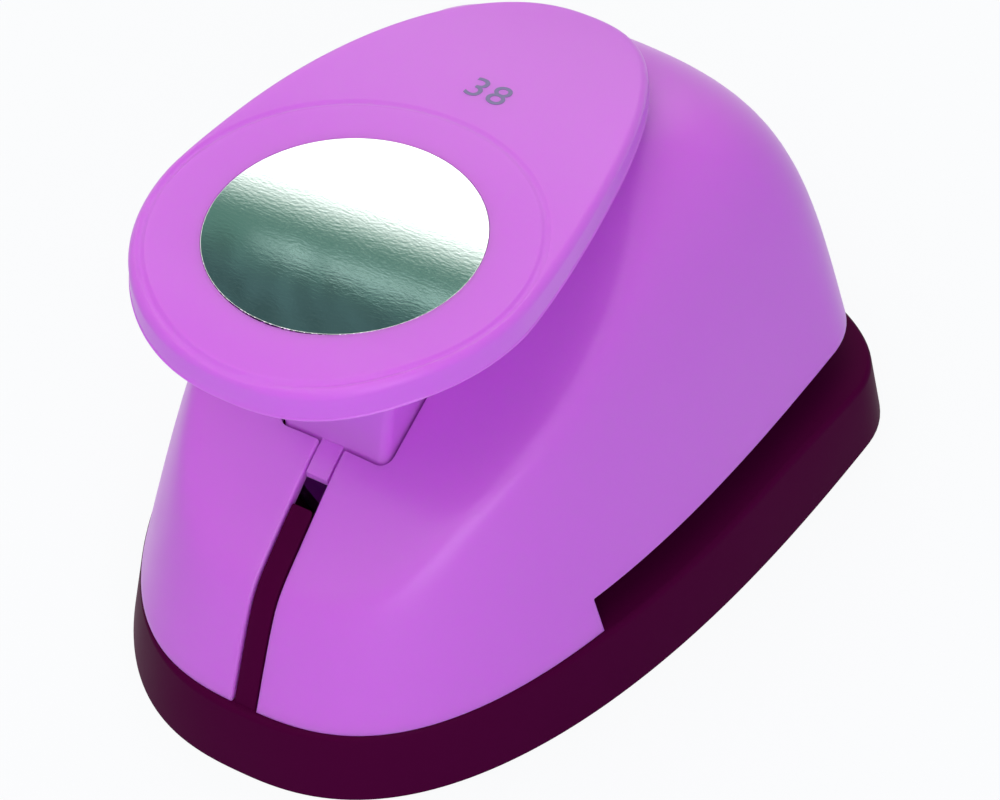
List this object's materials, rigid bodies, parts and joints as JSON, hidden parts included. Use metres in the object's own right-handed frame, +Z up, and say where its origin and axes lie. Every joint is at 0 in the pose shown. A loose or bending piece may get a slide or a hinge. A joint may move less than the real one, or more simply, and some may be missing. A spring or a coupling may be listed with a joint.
{
  "type": "circle craft punch",
  "caption": "Thumb-press paper punch that cuts a round disc, with a domed housing on an egg-shaped base and a sprung lever.",
  "frame": {"origin": "bottom centre of the base, on the surface that the punch stands on", "axes": "+Z up, -Y to the front where the thumb presses, +Y to the back where paper goes in, X across"},
  "size_m": [0.087, 0.114, 0.0718],
  "materials": {
    "pink_plastic": "satin moulded",
    "maroon_plastic": "satin moulded",
    "plate_steel": "stamped sheet",
    "tool_steel": "ground",
    "zinc_steel": "zinc plated",
    "spring_steel": "drawn wire",
    "mirror_foil": "bright foil"
  },
  "bodies": {
    "body": {"base_shell": "maroon_plastic", "bottom_cover": "maroon_plastic", "housing": "pink_plastic", "die_plate": "plate_steel", "paper_stop": "plate_steel", "guide_bracket": "plate_steel", "hinge_pin": "zinc_steel", "hinge_clip_left": "spring_steel", "hinge_clip_right": "spring_steel", "guide_post_left": "zinc_steel", "guide_post_right": "zinc_steel", "return_spring_left": "spring_steel", "return_spring_right": "spring_steel", "plate_screw_left": "zinc_steel", "plate_screw_front": "zinc_steel", "plate_screw_right": "zinc_steel", "die_screw_left": "zinc_steel", "die_screw_right": "zinc_steel", "housing_screw_left": "zinc_steel", "housing_screw_right": "zinc_steel", "column_screw_left": "zinc_steel", "column_screw_right": "zinc_steel", "cover_screw_front": "zinc_steel", "cover_screw_left": "zinc_steel", "cover_screw_right": "zinc_steel"},
    "lever": {"thumb_press": "pink_plastic", "size_disc": "mirror_foil", "lever_arm": "plate_steel", "press_pin": "zinc_steel", "lever_screw_front": "zinc_steel", "lever_screw_rear": "zinc_steel"},
    "punch": {"punch_cutter": "tool_steel", "crosshead": "plate_steel", "press_button": "zinc_steel"}
  },
  "joints": [
    {"name": "lever_press", "type": "hinge", "parent": "body", "child": "lever", "pos_m": [0, 0.036, 0.036], "axis": [1, 0, 0], "range_deg": [0, 8], "stiffness_Nm_per_rad": 2, "springref_deg": -4.58},
    {"name": "punch_slide", "type": "slide", "parent": "body", "child": "punch", "axis": [0, 0, -1], "range_m": [0, 0.0042], "stiffness_N_per_m": 200, "springref_m": -0.002, "deforming": ["return_spring_left", "return_spring_right"]}
  ],
  "couplings": [
    {"joint": "punch_slide", "follows": "lever_press", "m_per_rad": 0.0298}
  ]
}
